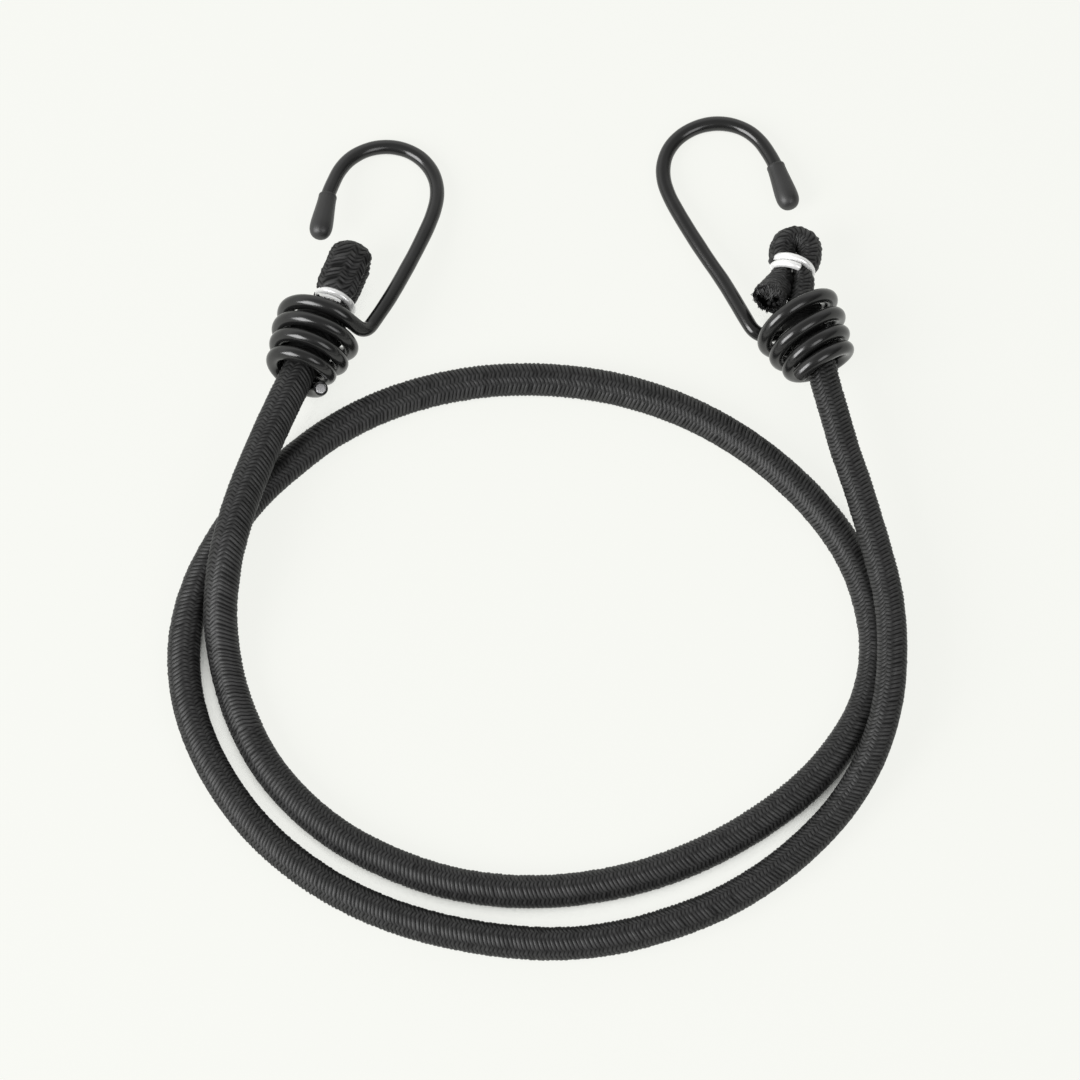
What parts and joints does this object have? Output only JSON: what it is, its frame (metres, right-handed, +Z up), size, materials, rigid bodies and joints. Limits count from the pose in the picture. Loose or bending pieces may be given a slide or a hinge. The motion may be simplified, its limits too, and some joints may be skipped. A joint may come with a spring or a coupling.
{
  "type": "bungee cord",
  "caption": "Braided elastic bungee cord in a loose double loop, with a coil-wound coated wire hook, crimped fold and tip cap at each end.",
  "frame": {"origin": "centre of the two hooks' footprint, on the surface that the cord lies on", "axes": "+Z up from that surface, +X from the left hook to the right hook, +Y from the loop to the hooks"},
  "size_m": [0.176, 0.2144, 0.0221],
  "materials": {
    "braid": "tight charcoal polyester braid with fine chevron ribs",
    "rubber_core": "bundle of dark latex threads",
    "crimp_wire": "bright plated wire",
    "steel_wire": "drawn steel wire",
    "wire_coating": "glossy black dip coating",
    "tip_cap": "satin dark grey moulded cap"
  },
  "bodies": {
    "cord": {"cord_sheath": "braid", "cord_core": "rubber_core"},
    "left_end": {"left_stretch_sheath": "braid", "left_stretch_core": "rubber_core", "left_end_sheath": "braid", "left_end_core": "rubber_core", "left_crimp_ring": "crimp_wire"},
    "left_hook": {"left_hook_wire": "steel_wire", "left_hook_coating": "wire_coating", "left_hook_tip": "tip_cap"},
    "right_end": {"right_stretch_sheath": "braid", "right_stretch_core": "rubber_core", "right_end_sheath": "braid", "right_end_core": "rubber_core", "right_crimp_ring": "crimp_wire"},
    "right_hook": {"right_hook_wire": "steel_wire", "right_hook_coating": "wire_coating", "right_hook_tip": "tip_cap"}
  },
  "joints": [
    {"name": "left_stretch", "type": "slide", "parent": "cord", "child": "left_end", "axis": [0.3968, 0.9179, 0], "range_m": [0, 0.03], "stiffness_N_per_m": 3000, "deforming": ["left_stretch_sheath", "left_stretch_core"]},
    {"name": "left_swivel", "type": "hinge", "parent": "left_end", "child": "left_hook", "pos_m": [-0.05674, -0.01682, 0.01038], "axis": [-0.3557, -0.9266, 0.1219], "continuous": true},
    {"name": "right_stretch", "type": "slide", "parent": "cord", "child": "right_end", "axis": [-0.2394, 0.9709, 0], "range_m": [0, 0.03], "stiffness_N_per_m": 3000, "deforming": ["right_stretch_sheath", "right_stretch_core"]},
    {"name": "right_swivel", "type": "hinge", "parent": "right_end", "child": "right_hook", "pos_m": [0.06025, -0.02341, 0.01158], "axis": [-0.358, 0.9327, -0.0436], "continuous": true}
  ]
}
